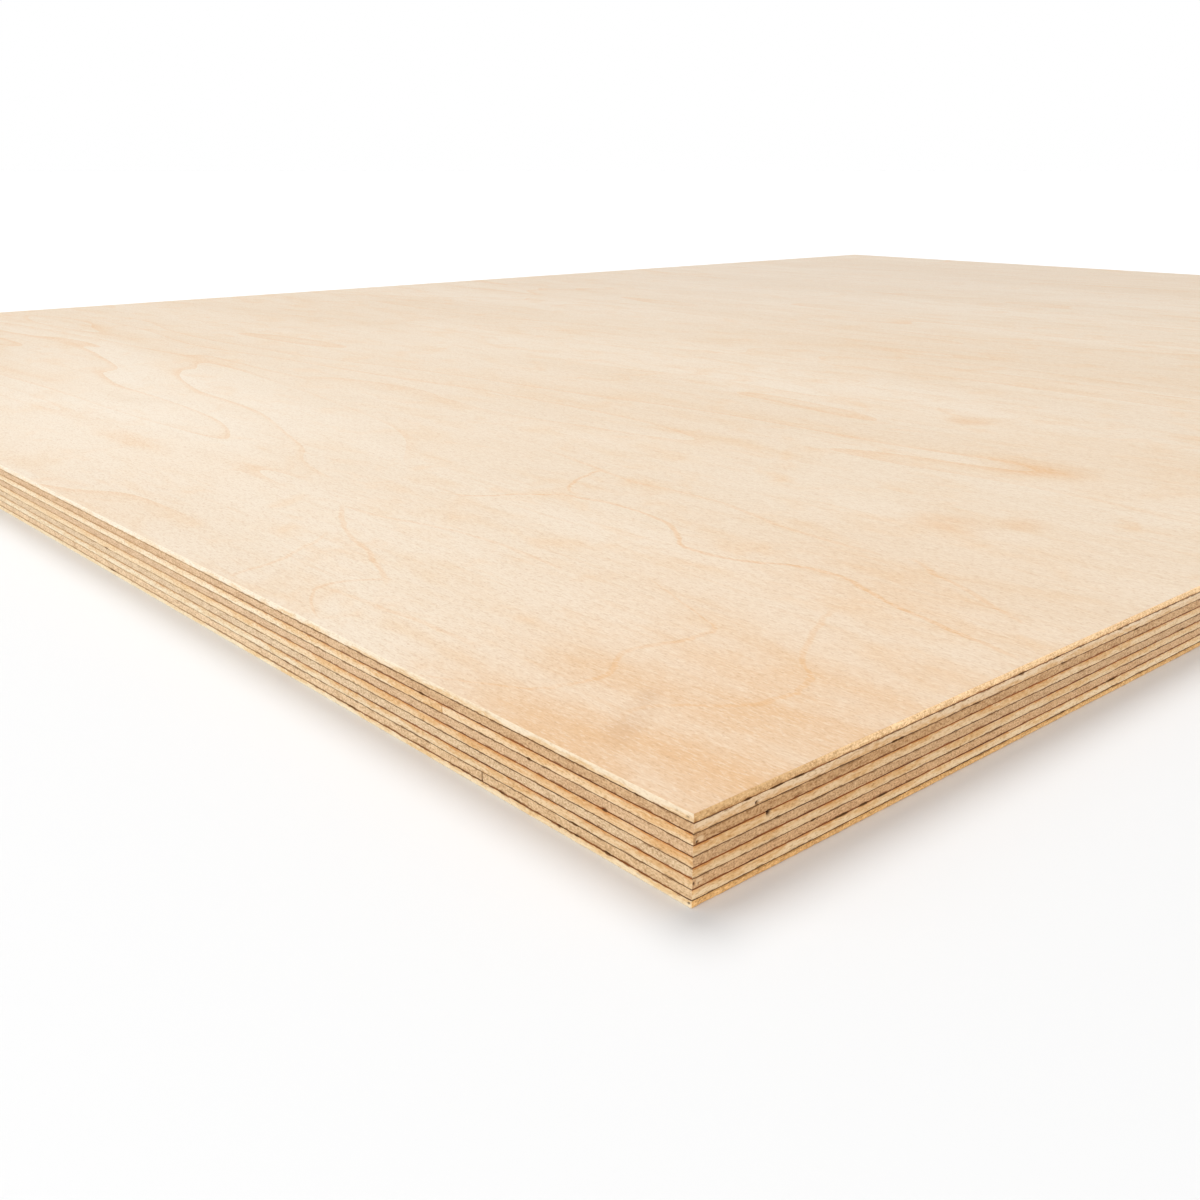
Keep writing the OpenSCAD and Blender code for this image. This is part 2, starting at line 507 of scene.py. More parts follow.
def cover(build, ring, rim, outside, up, slot):
    """Covers the inside of a row with a grid of quads that meets each of its columns."""
    nx, ny = len(ring.xs), len(ring.ys)
    number = np.zeros((nx, ny), int)
    number[:-1, 0] = rim + np.arange(nx - 1)
    number[-1, :-1] = rim + nx - 1 + np.arange(ny - 1)
    number[:0:-1, -1] = rim + nx + ny - 2 + np.arange(nx - 1)
    number[0, :0:-1] = rim + 2 * nx + ny - 3 + np.arange(ny - 1)
    x, y = np.meshgrid(ring.xs[1:-1], ring.ys[1:-1], indexing="ij")
    dip = DIP_DEPTH * (1 + noise(x / DIP_ACROSS, y / DIP_ALONG, 0.5, DIP_SEED))
    number[1:-1, 1:-1] = build.vertices(x, y, outside - up * dip) + np.arange(x.size).reshape(x.shape)
    u = FACE_MARGIN + FACE_WIDE * (ring.xs - ring.xs[0]) / np.ptp(ring.xs)
    v = FACE_MARGIN + FACE_HIGH * (ring.ys - ring.ys[0]) / np.ptp(ring.ys)
    build.grid(number, u, v, slot)


def outer_ply(index, materials):
    """Face or back veneer: edges, an eased arris and the sanded face. The back is the face turned over."""
    name = PLIES[index]
    back = index == BACK
    up, outside = (-1.0, CAD_LOW.z) if back else (1.0, CAD_HIGH.z)
    ring = sheet_ring(FACE_FINE, FACE_GROWTH, FACE_COARSE)
    radius = arris_radius(index, ring)
    bonded = ply_rims(index, ring)[1 if back else 0]
    height = np.abs(outside - bonded)
    room = Room(ring.length, OUTER_LINES, OUTER_EDGES_FOOT, OUTER_EDGES_TOP)
    build = Build()
    rows, shares = [], []
    for rise in EDGE_ROWS:
        z = bonded + up * rise * (height - radius)
        level = rise * (height - radius) / height
        dark, depth = pits(index, ring, 1 - level if back else level, height)
        # The worn lip is on the bonded side only.
        inset = edge_relief(index, ring, z, np.minimum(rise, 0.5)) + depth
        rows.append(build.row(ring, z, inset, level, dark))
        shares.append(STRAIGHT_SHARE * rise)
    for turn in ARRIS_TURNS:
        z = outside - up * radius * (1 - math.sin(turn))
        level = np.abs(z - bonded) / height
        rows.append(build.row(ring, z, ARRIS_INSET + radius * (1 - math.cos(turn)), level))
        shares.append(STRAIGHT_SHARE + (1 - STRAIGHT_SHARE) * turn / ARRIS_TURNS[-1])
    build.bands(ring, rows, shares, room, shows_end_grain(index, ring))
    cover(build, ring, rows[-1], outside, up, OUTER_SANDED)
    build.cap(ring, rows[0], OUTER_SPOT, OUTER_BONDED, upward=False)
    if back:
        build.turn_over()
    return build.make(name + "_birch", materials)


def glue_films(materials):
    """Eight films of glue, each a little inside the plies' edges."""
    ring = sheet_ring(GLUE_FINE, EDGE_GROWTH, EDGE_COARSE)
    build = Build()
    share = EDGES_TOP / BACK
    for index in range(BACK):
        middle, half = interface_height(index, ring), glue_width(index, ring) / 2 + GLUE_OVERLAP
        below_end_grain = shows_end_grain(index, ring).astype(float)
        room = Room(ring.length, FILM_LINES, index * share, (index + 1) * share)
        rows = []
        for rise in FILM_ROWS:
            rough = GLUE_ROUGH * (1 + ring.noise(GLUE_ROUGH_LENGTH, GLUE_ROUGH_SEED + index, rise))
            inset = GLUE_RECESS + rough + CHIP_DEPTH * torn(index, ring)
            rows.append(build.row(ring, middle + (2 * rise - 1) * half, inset, rise, tone=below_end_grain))
        build.bands(ring, rows, FILM_ROWS, room, FILM_EDGE)
        build.cap(ring, rows[0], FILM_SPOTS[index], FILM_BONDED, upward=False)
        build.cap(ring, rows[-1], FILM_SPOTS[index], FILM_BONDED, upward=True)
    return build.make("glue_lines_resin", materials)


# Materials

# Shares of a pattern's shift along X, Y and Z, and the share of a spot's size where it has its full strength
SHIFT_SHARES, SPOT_CORE = (1.0, 1.7, 0.6), 0.1

# Half width of a growth line on the face, in millimetres, and how the line fades towards its ends
LINE_HALF = 0.85
LINE_ENDS = [(0, 0), (0.15, 1), (0.85, 1), (1, 0)]


class Nodes:
    """Short ways to add and join the nodes of a material or of the world."""

    def __init__(self, owner):
        owner.use_nodes = True
        self.tree = owner.node_tree

    def fill(self, node, inputs):
        """Joins or sets a node's inputs: a socket is joined, and a plain value is set."""
        for label, value in inputs.items():
            if isinstance(value, bpy.types.NodeSocket):
                self.tree.links.new(value, node.inputs[label])
            else:
                node.inputs[label].default_value = value
        return node

    def add(self, kind, inputs):
        """Adds a node with the given inputs."""
        return self.fill(self.tree.nodes.new("ShaderNode" + kind), inputs)

    def maths(self, operation, first, second=0.0):
        """One sum on two numbers."""
        node = self.add("Math", {0: first, 1: second})
        node.operation = operation
        return node.outputs[0]


class Shader(Nodes):
    """Nodes of one material, with patterns in the object's own coordinates."""

    def __init__(self, name):
        self.material = bpy.data.materials.new(name)
        super().__init__(self.material)
        self.surface = self.tree.nodes["Principled BSDF"]
        self.place = self.add("TexCoord", {}).outputs["Object"]

    def scaled(self, x, y, z, shift=0.0):
        """Object coordinates in repeats of x, y and z metres."""
        shifts = tuple(share * shift for share in SHIFT_SHARES)
        inputs = {"Vector": self.place, "Location": shifts, "Scale": (1 / x, 1 / y, 1 / z)}
        return self.add("Mapping", inputs).outputs["Vector"]

    def measured(self, x, y, size_x, size_y, turn=0.0):
        """Coordinates from a point of the face, in shares of the given sizes. All are in millimetres."""
        middle = (CAD_LOW.x + x * MM, CAD_LOW.y + y * MM, CAD_HIGH.z)
        turns, sizes = (0, 0, math.radians(turn)), (size_x * MM, size_y * MM, 1.0)
        inputs = {"Vector": self.place, "Location": middle, "Rotation": turns, "Scale": sizes}
        node = self.add("Mapping", inputs)
        node.vector_type = "TEXTURE"
        return node.outputs["Vector"]

    def noise(self, vector, detail=3.0, rough=0.5, warp=0.0):
        """Smooth noise from 0 to 1."""
        inputs = {"Vector": vector, "Scale": 1.0, "Detail": detail, "Roughness": rough, "Distortion": warp}
        return self.add("TexNoise", inputs).outputs["Fac"]

    def edge_noise(self, length, height, seed, detail=2.0, rough=0.5):
        """Noise on an edge, with marks of the given length and height in millimetres."""
        return self.noise(self.scaled(length * MM, length * MM, height * MM, seed), detail, rough)

    def face_noise(self, across, along, seed, detail=3.0, rough=0.5, warp=0.0):
        """Noise on a face, with marks of the given sizes in millimetres across and along the grain."""
        return self.noise(self.scaled(across * MM, along * MM, 1.0, seed), detail, rough, warp)

    def cells(self, vector):
        """Distance from the middle of the nearest of many random cells."""
        return self.add("TexVoronoi", {"Vector": vector, "Scale": 1.0}).outputs["Distance"]

    def number(self, label):
        """A number that the mesh holds per vertex."""
        node = self.add("Attribute", {})
        node.attribute_name = label
        return node.outputs["Fac"]

    def times(self, first, second):
        """Product of two numbers."""
        return self.maths("MULTIPLY", first, second)

    def fade(self, value, low, high, to_low=0.0, to_high=1.0):
        """Value mapped smoothly from low..high to to_low..to_high, and held there beyond."""
        inputs = {"Value": value, "From Min": low, "From Max": high, "To Min": to_low, "To Max": to_high}
        node = self.add("MapRange", inputs)
        node.interpolation_type = "SMOOTHSTEP"
        return node.outputs["Result"]

    def blend(self, share, first, second, way="MIX"):
        """First colour at share 0, second at share 1. With way MULTIPLY, the first times the second."""
        node = self.add("Mix", {})
        node.data_type = "RGBA"
        node.blend_type = way
        return self.fill(node, {"Factor": share, 6: first, 7: second}).outputs[2]

    def tint(self, share, base, scale):
        """Base colour at share 0, and scaled in each channel at share 1."""
        return self.blend(share, base, (*scale, 1.0), "MULTIPLY")

    def spot(self, x, y, half_x, half_y, turn=0.0):
        """1 in the middle of an oval place on the face, in millimetres from the near corner, fading to 0."""
        node = self.add("VectorMath", {0: self.measured(x, y, half_x, half_y, turn)})
        node.operation = "LENGTH"
        return self.fade(node.outputs["Value"], SPOT_CORE, 1.0, 1.0, 0.0)

    def curve(self, value, points):
        """Value bent to pass through the given points, each from 0 to 1."""
        node = self.add("FloatCurve", {"Value": value})
        bend = node.mapping.curves[0].points
        bend[0].location, bend[1].location = points[0], points[-1]
        for across, up in points[1:-1]:
            bend.new(across, up)
        node.mapping.extend = "HORIZONTAL"
        node.mapping.update()
        return node.outputs["Value"]

    def drawn(self, points, along_y, wobble):
        """1 on a line through points in millimetres from the near corner, fading at its sides and ends."""
        low = [min(p[axis] for p in points) for axis in (0, 1)]
        size = [max(p[axis] for p in points) - low[axis] for axis in (0, 1)]
        parts = self.add("SeparateXYZ", {"Vector": self.measured(*low, *size)})
        run, aside = (1, 0) if along_y else (0, 1)
        shares = [[(p[axis] - low[axis]) / size[axis] for axis in (0, 1)] for p in points]
        path = self.curve(parts.outputs[run], [(share[run], share[aside]) for share in shares])
        shown = self.curve(parts.outputs[run], LINE_ENDS)
        off = self.times(self.maths("SUBTRACT", parts.outputs[aside], path), size[aside])
        off = self.maths("ADD", off, wobble)
        return self.times(self.fade(self.times(off, off), 0.0, LINE_HALF ** 2, 1.0, 0.0), shown)

    def finish(self, base, rough, height, depth, shine=0.3):
        """Joins colour, roughness and a bump of the given depth to the surface, and returns the material."""
        bump = self.add("Bump", {"Height": height, "Distance": depth, "Strength": 1.0})
        self.fill(self.surface, {"Base Color": base, "Roughness": rough, "Specular IOR Level": shine})
        self.fill(self.surface, {"Normal": bump.outputs["Normal"]})
        return self.material


# Depth of the fine bumps of each material
LONG_BUMP, END_BUMP, FACE_BUMP = 0.07 * MM, 0.06 * MM, 0.035 * MM
BONDED_BUMP, RESIN_BUMP = 0.01 * MM, 0.02 * MM

PIT_SHADE, FRESH_WOOD = colour(66, 40, 20), colour(226, 192, 150)

# Wear at the near corner: how each channel is scaled there, and how far it reaches in millimetres.
WARM_WEAR, MILD_WEAR = ((0.88, 0.75, 0.61), 125), ((0.91, 0.85, 0.77), 125)
DEEP_WEAR, SLIGHT_WEAR = ((0.84, 0.77, 0.67), 125), ((0.95, 0.90, 0.83), 100)
FACE_WEAR = ((0.71, 0.63, 0.51), 42)

# Stretch of the edge where the resin is paler: middle and half sizes in millimetres from the near corner
PALE_STRETCH = (0, 195, 150, 165)

# Resin stain beside a glue line: colour, share of the ply's height that it reaches, and strength.
THIN_STAIN = (colour(126, 88, 50), 0.06, 0.7)
AMBER_STAIN = (colour(196, 118, 40), 0.2, 0.58)
BROWN_STAIN = (colour(122, 62, 8), 0.12, 0.75)
RIM_STAIN = (colour(126, 76, 30), 0.18, 0.6)

# Tints of an edge cut along its fibres. Dark marks scale the colour below them, and the rest scale the mean.
LONG_PALE, LONG_WARM = (1.10, 1.17, 1.30), (0.98, 0.87, 0.72)
PALE_STREAK, PALE_MOTTLE = (1.10, 1.18, 1.30), (1.14, 1.24, 1.38)
DARK_MOTTLE, DARK_FLECK = (0.76, 0.65, 0.52), (0.70, 0.58, 0.44)

# Distance in millimetres from the near corner within which a ply's warm side is warmest
WARM_REACH = 170

# Tints of an edge cut across its fibres, in the same way
END_PALE, END_DARK, PALE_GRIT = (1.09, 1.10, 1.11), (0.90, 0.86, 0.82), (1.22, 1.29, 1.38)
DARK_PATCH, DARK_RIM = (0.88, 0.83, 0.78), (0.76, 0.64, 0.48)
DARK_GRIT, DARK_PORE = (0.68, 0.59, 0.50), (0.58, 0.50, 0.42)


def stained(s, base, distance, wander, near, stain):
    """Colour with resin soaked in beside a glue line."""
    soaked, reach, strength = stain
    share = s.fade(s.maths("SUBTRACT", distance, wander), -0.05, reach, strength, 0.0)
    return s.blend(s.times(share, near), base, soaked)


def weathered(s, base, seed, wear, below, above):
    """Colour with warmth near the handled corner, resin stain beside the glue, and shade in the pits."""
    rise, pit = s.number("rise"), s.number("pit")
    wander = s.fade(s.edge_noise(1.8, 0.5, seed + 9, 2, 0.6), 0.3, 0.7, -0.14, 0.14)
    scale, reach = wear
    base = s.tint(s.spot(0, 0, reach, reach), base, scale)
    near = s.fade(s.spot(*PALE_STRETCH), 0.0, 1.0, 1.0, 0.5)
    base = stained(s, base, rise, wander, near, below)
    if above:
        base = stained(s, base, s.maths("SUBTRACT", 1.0, rise), wander, near, above)
    base = s.blend(s.fade(pit, -0.6, -0.1, 0.75, 0.0), base, FRESH_WOOD)
    return s.blend(s.fade(pit, 0.05, 0.7), base, PIT_SHADE)


def long_grain(name, seed, outer, warm_below, mean, wear):
    """Edge of a ply cut along its fibres: pale and mottled, warmer towards one of its glue lines."""
    s = Shader(name)
    busy = 0.55 if outer else 1.0
    pale, warm = shade(mean, *LONG_PALE), shade(mean, *LONG_WARM)
    streak = s.edge_noise(5, 0.34, seed)
    mottle = s.edge_noise(0.8, 0.26, seed + 3, 1)
    patch = s.edge_noise(7, 2.5, seed + 4)
    fleck = s.edge_noise(0.45, 0.2, seed + 5, 1)
    rise = s.number("rise")
    climb = s.maths("SUBTRACT", 1.0, rise) if warm_below else rise
    climb = s.maths("ADD", climb, s.fade(patch, 0.3, 0.7, -0.4, 0.4))
    climb = s.maths("ADD", climb, s.times(s.number("tone"), 0.9))
    near = s.fade(s.spot(0, 0, WARM_REACH, WARM_REACH), 0.0, 0.5, 0.55, 1.0)
    base = s.blend(s.times(s.fade(climb, 0.2, 0.85), near), pale, warm)
    base = s.blend(s.fade(streak, 0.5, 0.72, 0.0, 0.7 * busy), base, warm)
    base = s.blend(s.fade(streak, 0.3, 0.46, 0.5, 0.0), base, shade(mean, *PALE_STREAK))
    base = s.tint(s.fade(mottle, 0.5, 0.76, 0.0, 0.75 * busy), base, DARK_MOTTLE)
    base = s.blend(s.fade(mottle, 0.26, 0.48, 0.6, 0.0), base, shade(mean, *PALE_MOTTLE))
    base = s.tint(s.fade(fleck, 0.54, 0.76, 0.0, 0.7 * busy), base, DARK_FLECK)
    inner_stains = (THIN_STAIN, THIN_STAIN if warm_below else AMBER_STAIN)
    below, above = (BROWN_STAIN, None) if outer else inner_stains
    base = weathered(s, base, seed, wear, below, above)
    height = s.maths("ADD", s.times(streak, 0.5), s.times(mottle, 0.5))
    return s.finish(base, s.fade(streak, 0.3, 0.7, 0.62, 0.78), height, LONG_BUMP)


def end_grain(name, seed, outer, bold, mean, wear):
    """Edge of a ply cut across its fibres: granular, with open pores."""
    s = Shader(name)
    busy = 1.0 if bold else 0.8
    grit = s.edge_noise(0.34, 0.24, seed, 1)
    band = s.edge_noise(3, 0.26, seed + 2)
    patch = s.edge_noise(4, 2.5, seed + 4)
    pore = s.cells(s.scaled(0.7 * MM, 0.7 * MM, 0.5 * MM, seed + 6))
    base = s.blend(s.fade(band, 0.3, 0.7), shade(mean, *END_PALE), shade(mean, *END_DARK))
    base = s.tint(s.fade(patch, 0.42, 0.72, 0.0, 0.9), base, DARK_PATCH)
    if outer:
        base = s.tint(s.fade(s.number("rise"), 0.05, 0.6, 0.6, 0.0), base, DARK_RIM)
    base = s.blend(s.fade(grit, 0.24, 0.5, busy, 0.0), base, shade(mean, *PALE_GRIT))
    base = s.tint(s.fade(grit, 0.5, 0.74, 0.0, busy), base, DARK_GRIT)
    base = s.tint(s.fade(pore, 0.05, 0.2, 0.4, 0.0), base, DARK_PORE)
    below, above = (RIM_STAIN, None) if outer else (BROWN_STAIN, THIN_STAIN)
    base = weathered(s, base, seed, wear, below, above)
    height = s.maths("SUBTRACT", grit, s.fade(pore, 0.05, 0.3, 0.6, 0.0))
    return s.finish(base, s.fade(grit, 0.3, 0.7, 0.7, 0.85), height, END_BUMP)


# Clouds on the face, the first of them painted shade: middle and half sizes in millimetres from the near
# corner, turn, strength and colour.
PALE_CLOUD, WARM_CLOUD = colour(246, 237, 222), colour(219, 168, 110)
DULL_CLOUD, FAR_PAINTED_SHADE = colour(178, 132, 88), colour(218, 204, 188)
FACE_CLOUDS = [
    # Painted shade: the far part of the face greyed and dimmed, as where less light falls.
    (640, 460, 480, 400, 0, 0.45, FAR_PAINTED_SHADE),
    (45, 280, 90, 200, 0, 0.3, PALE_CLOUD),
    (100, 330, 150, 210, 0, 0.22, PALE_CLOUD),
    (62, 28, 105, 80, 0, 0.22, WARM_CLOUD),
    (0, 0, 75, 75, 0, 0.7, WARM_CLOUD),
    (184, 66, 15, 18, 20, 0.34, WARM_CLOUD),
    (127, 52, 10, 14, 0, 0.34, WARM_CLOUD),
    (137, 42, 8, 8, 0, 0.35, WARM_CLOUD),
    (225, 112, 9, 9, 0, 0.4, WARM_CLOUD),
    (13, 24, 13, 4, 30, 0.24, DULL_CLOUD),
    (19.5, 28, 4.5, 2.2, 30, 0.16, DULL_CLOUD),
]

# Growth lines near the viewer: strength, whether the line runs along Y, and its points in millimetres.
FACE_LINES = [
    (0.9, True, [(70, 2), (73, 15), (76, 28), (80, 38), (82, 48), (77, 60), (74, 72), (78, 81), (84, 92),
                 (86, 105), (84.5, 118), (83, 126)]),
    (0.8, False, [(64, 143), (67, 136), (71, 132), (76, 129.5), (84, 122)]),
    (0.8, False, [(85, 118), (88, 126), (93, 130.5), (98, 132.5), (106, 136)]),
    (0.65, False, [(11, 24), (15, 25), (20, 23), (26, 18), (33, 15.5), (40, 17), (45, 23), (50, 25.5),
                  (58, 30), (67, 34)]),
    (0.6, False, [(0, 56), (6, 46), (13, 38), (20, 38), (28, 42), (36, 41), (44, 40), (48, 46), (52, 56),
                  (56, 67)]),
    (0.55, False, [(2, 86), (7, 97), (11, 100.5), (16, 99), (22, 96)]),
    (0.6, True, [(20, 94), (24, 103), (28, 113), (30, 124), (35, 134), (42, 147)]),
    (0.45, True, [(48, 80), (49, 97), (48.5, 110), (47, 120), (44, 132), (42, 145)]),
    (0.5, False, [(1, 116), (12, 119), (20, 123), (29, 129)]),
    (0.5, True, [(98, 48), (99, 65), (102, 84), (104.5, 100), (104, 120), (107, 140), (111, 165)]),
    (0.6, True, [(84, 10), (88, 18), (94, 30), (100, 43)]),
    (0.4, True, [(13, 58), (13.5, 72), (12, 84), (11, 100)]),
]

# Part of the face where lines are drawn and few random ones show: middle and half sizes in the same way
DRAWN_PART = (55, 70, 170, 170)

# Number of random growth rings across the range of the noise that they follow
RING_COUNT = 9.0

# Colours of the sanded face: wood, growth rings and lines, soft marks, then fibres and vessels
FACE_PALE, FACE_CREAM = colour(233, 217, 196), colour(227, 207, 182)
RING_COLOUR, LINE_COLOUR = colour(224, 186, 140), colour(224, 168, 100)
HAZE_COLOUR, PUFF_COLOUR, STREAK_COLOUR = colour(224, 188, 144), colour(228, 184, 132), colour(220, 182, 138)
FIBRE_PALE, FIBRE_DARK, VESSEL_DARK = colour(245, 230, 208), colour(200, 160, 120), colour(186, 142, 100)
FACE_SHINE = 0.25


def clouded(s, base, haze, clouds):
    """Colour with the given clouds on it, which are patchy as the haze is."""
    for x, y, half_x, half_y, turn, strength, cloud_colour in clouds:
        reach = s.times(s.spot(x, y, half_x, half_y, turn), strength)
        base = s.blend(s.times(reach, s.fade(haze, 0.25, 0.6, 0.5, 1.0)), base, cloud_colour)
    return base


def growth_lines(s, ring, shows, haze, lines):
    """Strength of the growth lines: random ones where they show, and the given ones."""
    line = s.times(s.fade(ring, 0.86, 0.98), s.times(shows, 0.6))
    wobble = s.fade(haze, 0.2, 0.8, -1.0, 1.0)
    for strength, along_y, points in lines:
        line = s.maths("MAXIMUM", line, s.times(s.drawn(points, along_y, wobble), strength))
    return line


def sanded_face(name, seed, clouds, lines):
    """Rotary-cut birch: pale, with wandering growth lines, fine fibres and soft clouds of colour."""
    s = Shader(name)
    cloud = s.face_noise(52, 240, seed, 3, 0.55, 0.3)
    haze = s.face_noise(9, 34, seed + 2, 4, 0.6, 0.3)
    figure = s.face_noise(75, 380, seed + 4, 2.2, 0.42, 0.5)
    ring = s.maths("FRACT", s.times(figure, RING_COUNT))
    shows = s.fade(s.face_noise(60, 160, seed + 6, 2), 0.38, 0.62, 0.25, 1.0)
    if lines:
        shows = s.times(shows, s.fade(s.spot(*DRAWN_PART), 0.2, 0.6, 1.0, 0.0))
    fibre = s.face_noise(0.3, 1.3, seed + 8, 1.5, 0.6, 0.2)
    streak = s.face_noise(1.6, 32, seed + 9, 3, 0.62)
    vessel = s.face_noise(0.28, 0.6, seed + 10, 1)
    puff = s.face_noise(11, 19, seed + 11, 3, 0.6, 0.6)
    base = s.blend(s.fade(cloud, 0.3, 0.7), FACE_PALE, FACE_CREAM)
    base = s.blend(s.times(s.fade(ring, 0.1, 1.0), s.times(shows, 0.2)), base, RING_COLOUR)
    base = s.blend(s.fade(haze, 0.46, 0.78, 0.0, 0.42), base, HAZE_COLOUR)
    base = s.blend(s.fade(puff, 0.5, 0.78, 0.0, 0.32), base, PUFF_COLOUR)
    base = s.blend(s.fade(streak, 0.5, 0.78, 0.0, 0.3), base, STREAK_COLOUR)
    base = clouded(s, base, haze, clouds)
    broken = s.times(s.fade(fibre, 0.3, 0.65, 0.6, 1.0), s.fade(haze, 0.3, 0.6, 0.3, 0.5))
    base = s.blend(s.times(growth_lines(s, ring, shows, haze, lines), broken), base, LINE_COLOUR)
    base = s.blend(s.fade(fibre, 0.26, 0.5, 0.3, 0.0), base, FIBRE_PALE)
    base = s.blend(s.fade(fibre, 0.5, 0.76, 0.0, 0.32), base, FIBRE_DARK)
    base = s.blend(s.fade(vessel, 0.54, 0.8, 0.0, 0.32), base, VESSEL_DARK)
    height = s.maths("ADD", s.times(fibre, 0.8), s.times(vessel, 0.8))
    return s.finish(base, s.fade(fibre, 0.3, 0.7, 0.52, 0.64), height, FACE_BUMP, FACE_SHINE)


# Colours of a hidden face, of thin and thick glue, and of glue in the pale stretch with its strength there
BONDED_DARK, BONDED_LIGHT, BONDED_ROUGHNESS = colour(148, 104, 62), colour(152, 108, 66), 0.8
THIN_DARK, THIN_LIGHT = colour(66, 40, 16), colour(118, 78, 40)
THICK_DARK, THICK_LIGHT = colour(82, 34, 0), colour(140, 70, 0)
PALE_RESIN, PALE_STRENGTH = colour(204, 160, 106), 0.9

# Seeds of the glue's looks
RUN_SEED, RESIN_GRAIN_SEED, GLUE_BONDED_SEED = 2.0, 4.0, 5.0


def bonded_face(name, seed):
    """Hidden face of a ply, evenly stained by the glue."""
    s = Shader(name)
    stain = s.face_noise(300, 300, seed, 1)
    base = s.blend(stain, BONDED_LIGHT, BONDED_DARK)
    return s.finish(base, BONDED_ROUGHNESS, stain, BONDED_BUMP)


def resin(name):
    """Dark glue line, thin and brittle, with paler squeezed stretches."""
    s = Shader(name)
    run = s.fade(s.edge_noise(6, 2, RUN_SEED, 3, 0.6), 0.35, 0.68)
    grain = s.edge_noise(0.5, 0.15, RESIN_GRAIN_SEED)
    thin = s.blend(run, THIN_DARK, THIN_LIGHT)
    thick = s.blend(run, THICK_DARK, THICK_LIGHT)
    base = s.blend(s.number("tone"), thin, thick)
    base = s.blend(s.times(s.spot(*PALE_STRETCH), PALE_STRENGTH), base, PALE_RESIN)
    return s.finish(base, s.fade(grain, 0.3, 0.7, 0.5, 0.7), grain, RESIN_BUMP)


# Mean colour of each ply's edge, along its grain and across it.
LONG_COLOURS = [
    (237, 219, 190), (228, 198, 160), (236, 213, 177), (226, 193, 149), (233, 206, 166),
    (228, 196, 152), (235, 214, 179), (240, 211, 168), (242, 220, 182),
]
END_COLOURS = [
    (250, 213, 164), (219, 187, 150), (207, 168, 125), (220, 190, 155), (210, 174, 134),
    (226, 202, 169), (218, 179, 137), (235, 208, 172), (243, 199, 137),
]

# Plies whose end grain is bold, and plies whose long grain is warmer towards the bottom
BOLD_PLIES = ("long_ply_3", "centre_ply_5", "long_ply_7")
WARM_BELOW_PLIES = ("face_veneer", "cross_ply_2", "back_veneer")

# Wear of the edges along and across the grain, for the plies where it isn't the usual one
LONG_WEAR = {"face_veneer": MILD_WEAR, "back_veneer": SLIGHT_WEAR}
END_WEAR = {
    "face_veneer": FACE_WEAR, "cross_ply_2": DEEP_WEAR, "long_ply_3": DEEP_WEAR,
    "cross_ply_8": DEEP_WEAR, "back_veneer": SLIGHT_WEAR,
}

# Step of the seed from ply to ply, and a sanded face's seed as a multiple of its ply's
PLY_SEED_STEP, FACE_SEED_TIMES = 0.37, 3


def ply_materials(index):
    """Materials of one ply: edge along the grain, edge across it, then its faces."""
    name, seed, outer = PLIES[index], PLY_SEED_STEP * (index + 1), index in (FACE, BACK)
    long_wear = LONG_WEAR.get(name, [WARM_WEAR, MILD_WEAR][index % 2])
    end_wear = END_WEAR.get(name, MILD_WEAR)
    long_mean, end_mean = colour(*LONG_COLOURS[index]), colour(*END_COLOURS[index])
    materials = [
        long_grain(name + "_long_grain", seed, outer, name in WARM_BELOW_PLIES, long_mean, long_wear),
        end_grain(name + "_end_grain", seed, outer, name in BOLD_PLIES, end_mean, end_wear),
    ]
    if outer:
        clouds, lines = (FACE_CLOUDS, FACE_LINES) if index == FACE else ([], [])
        materials.append(sanded_face(name + "_sanded", FACE_SEED_TIMES * seed, clouds, lines))
    materials.append(bonded_face(name + "_bonded", seed))
    return materials


# The sheet

for index, node in enumerate(PLIES):
    outer = index in (FACE, BACK)
    piece = (outer_ply if outer else inner_ply)(index, ply_materials(index))
    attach(piece, "root")
    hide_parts(node)

films = glue_films([resin("glue_resin"), bonded_face("glue_bonded", GLUE_BONDED_SEED)])
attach(films, "root")
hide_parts("glue_lines")

# Studio floor, light and camera

WHITE = (1, 1, 1, 1)

FLOOR_REACH, FLOOR_ROUGHNESS = 60.0, 0.9

# The floor is a shade darker where the lamps reach, in millimetres, so that it looks evenly white.
FLOOR_AWAY, FLOOR_UNDER_LAMPS, LAMPS_REACH = (0.98, 0.98, 0.98, 1), (0.85, 0.85, 0.85, 1), 900

# Faint mottle of the floor: its tint, and its size in millimetres
FLOOR_MOTTLE, MOTTLE_SIZE = (0.99, 0.99, 0.99), 400

# Away from the sheet, the floor glows a little, so that no horizon shows.
FLOOR_GLOW = 0.13

# Light from the sky, and the sun's place, power and width in degrees. It stands behind the sheet, so that the
# near edges shade the floor.
SKY_STRENGTH = 0.45
SUN_PLACE, SUN_POWER, SUN_WIDTH = (1.3, 1.7, 3.4), 1.6, 34

# Softboxes: name, place, the point that it faces, power in watts, and diameter in metres
SOFTBOXES = [
    ("left_softbox", (-0.95, 0.25, 0.5), (-0.4, -0.05, 0), 0.9, 0.6),
    ("near_softbox", (-0.9, -0.5, 0.8), (-0.3, -0.2, 0), 1.4, 0.6),
    ("front_fill", (-1.95, -1.75, 0.33), (-0.4, -0.3, 0), 26, 1.4),
]


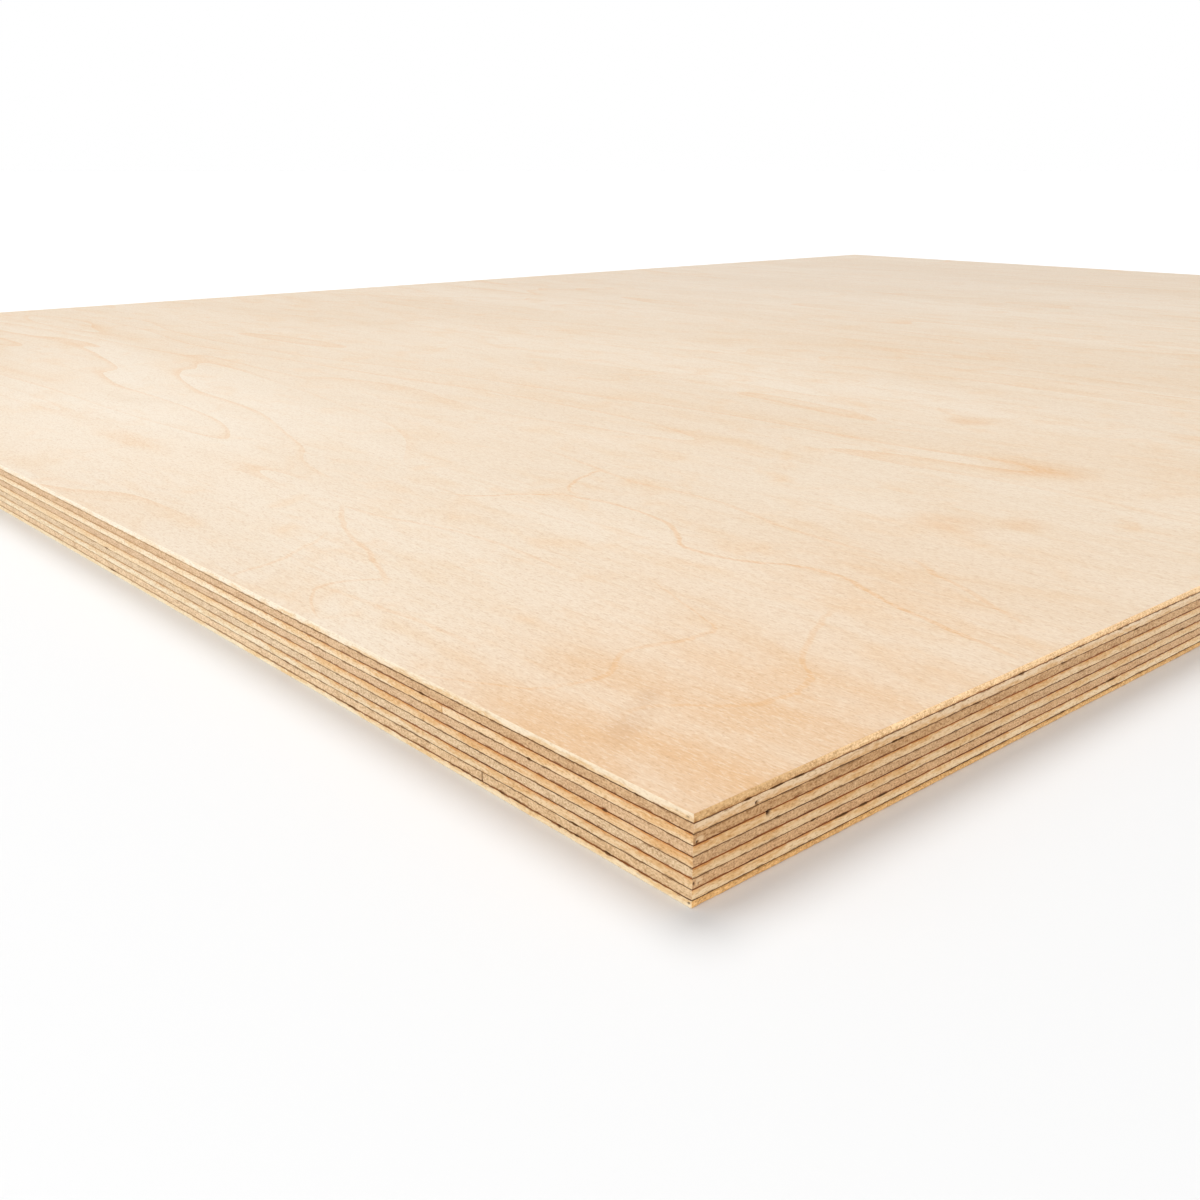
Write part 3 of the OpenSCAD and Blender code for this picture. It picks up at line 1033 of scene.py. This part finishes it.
def studio_floor():
    """White floor under the sheet, which reaches the horizon."""
    mesh = bpy.data.meshes.new("studio_floor")
    r = FLOOR_REACH
    mesh.from_pydata([(-r, -r, 0), (r, -r, 0), (r, r, 0), (-r, r, 0)], [], [(0, 1, 2, 3)])
    shader = Shader("studio_floor_white")
    lit = shader.spot(0, 0, LAMPS_REACH, LAMPS_REACH)
    mottle = shader.face_noise(MOTTLE_SIZE, MOTTLE_SIZE, 0.0, 2)
    base = shader.blend(lit, FLOOR_AWAY, FLOOR_UNDER_LAMPS)
    base = shader.tint(mottle, base, FLOOR_MOTTLE)
    glow = shader.fade(lit, 0.0, 1.0, FLOOR_GLOW, 0.0)
    shader.fill(shader.surface, {"Base Color": base, "Roughness": FLOOR_ROUGHNESS})
    shader.fill(shader.surface, {"Emission Color": WHITE, "Emission Strength": glow})
    mesh.materials.append(shader.material)
    floor = bpy.data.objects.new("studio_floor", mesh)
    bpy.context.collection.objects.link(floor)


def lamp(name, kind, place, target, power):
    """Puts up a lamp that faces a target, and returns its light."""
    light = bpy.data.lights.new(name, kind)
    light.energy = power
    holder = bpy.data.objects.new(name, light)
    holder.location = place
    holder.rotation_euler = (Vector(target) - Vector(place)).to_track_quat("-Z", "Y").to_euler()
    bpy.context.collection.objects.link(holder)
    return light


def studio_lamps():
    """Sun for the key light, and softboxes that fill in the near edges."""
    sun = lamp("key_light", "SUN", SUN_PLACE, (0, 0, 0), SUN_POWER)
    sun.angle = math.radians(SUN_WIDTH)
    for name, place, target, power, size in SOFTBOXES:
        softbox = lamp(name, "AREA", place, target, power)
        softbox.shape = "DISK"
        softbox.size = size


def studio_world(strength):
    """White all round as seen and as mirrored, and dimmer as a source of light."""
    world = bpy.data.worlds.new("studio_world")
    bpy.context.scene.world = world
    nodes = Nodes(world)
    path = nodes.add("LightPath", {}).outputs
    direct = nodes.maths("MAXIMUM", path["Is Camera Ray"], path["Is Glossy Ray"])
    dim = nodes.fill(nodes.tree.nodes["Background"], {"Color": WHITE, "Strength": strength}).outputs[0]
    bright = nodes.add("Background", {"Color": WHITE, "Strength": 1.0}).outputs[0]
    sky = nodes.add("MixShader", {"Fac": direct, 1: dim, 2: bright}).outputs[0]
    nodes.fill(nodes.tree.nodes["World Output"], {"Surface": sky})


# Camera fitted to the photograph: place from the sheet's near bottom corner, turns in degrees, lens and range
CAMERA_OFFSET = Vector((-91.2, -87.7, 79.9)) * MM
CAMERA_YAW, CAMERA_PITCH, CAMERA_ROLL = -41.40, 18.69, -0.02
LENS_MM, SENSOR_MM = 38.2, 36.0
CLIP_NEAR, CLIP_FAR = 5 * MM, 200.0


def photo_camera():
    """Camera at the place and angle from which the photograph was taken."""
    data = bpy.data.cameras.new("photo_camera")
    data.sensor_width = SENSOR_MM
    data.lens = LENS_MM
    data.clip_start = CLIP_NEAR
    data.clip_end = CLIP_FAR
    camera = bpy.data.objects.new("photo_camera", data)
    turn = Matrix.Rotation(math.radians(CAMERA_YAW), 4, "Z")
    tilt = Matrix.Rotation(math.radians(90 - CAMERA_PITCH), 4, "X")
    roll = Matrix.Rotation(math.radians(CAMERA_ROLL), 4, "Z")
    camera.matrix_world = Matrix.Translation(CAD_LOW + CAMERA_OFFSET) @ turn @ tilt @ roll
    bpy.context.collection.objects.link(camera)
    bpy.context.scene.camera = camera


studio_floor()
studio_world(SKY_STRENGTH)
studio_lamps()
photo_camera()
bpy.context.scene.view_settings.view_transform = "Standard"
